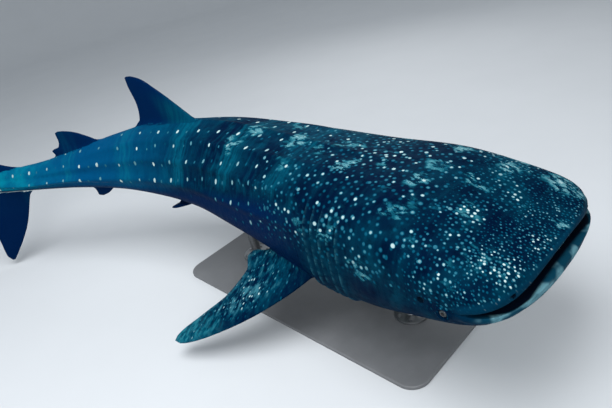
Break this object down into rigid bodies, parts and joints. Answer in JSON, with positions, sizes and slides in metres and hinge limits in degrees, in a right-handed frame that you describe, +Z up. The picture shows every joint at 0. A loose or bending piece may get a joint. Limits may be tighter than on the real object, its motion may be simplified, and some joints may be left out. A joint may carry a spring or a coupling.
{
  "type": "whale shark display model",
  "caption": "Life-size whale shark, swimming with its tail swept to its right and its wide mouth slightly open, held level on rods over a flat base.",
  "frame": {"origin": "on the floor, under the middle of the model's box", "axes": "+X towards the head, +Y to the animal's left, +Z up"},
  "size_m": [5.1258, 3.0434, 2.1094],
  "materials": {
    "skin": "smooth hide, dark blue-green with off-white spots and teal bars, pale below",
    "fin_skin": "smooth hide, dark blue, with teal patches and pale flecks on the chest fins",
    "eye": "wet gloss",
    "stand_plate": "mid-grey powder coat",
    "stand_steel": "brushed, dark"
  },
  "bodies": {
    "root": {"head": "skin", "lower_jaw": "skin", "torso_front": "skin", "torso_rear": "skin", "tail_stalk": "skin", "caudal_fin_upper": "fin_skin", "caudal_fin_lower": "fin_skin", "first_dorsal_fin": "fin_skin", "second_dorsal_fin": "fin_skin", "anal_fin": "fin_skin", "pectoral_fin_left": "fin_skin", "pectoral_fin_right": "fin_skin", "pelvic_fin_left": "fin_skin", "pelvic_fin_right": "fin_skin", "eye_left": "eye", "eye_right": "eye", "stand_base": "stand_plate", "stand_rod_front": "stand_steel", "stand_rod_rear": "stand_steel"}
  },
  "joints": []
}
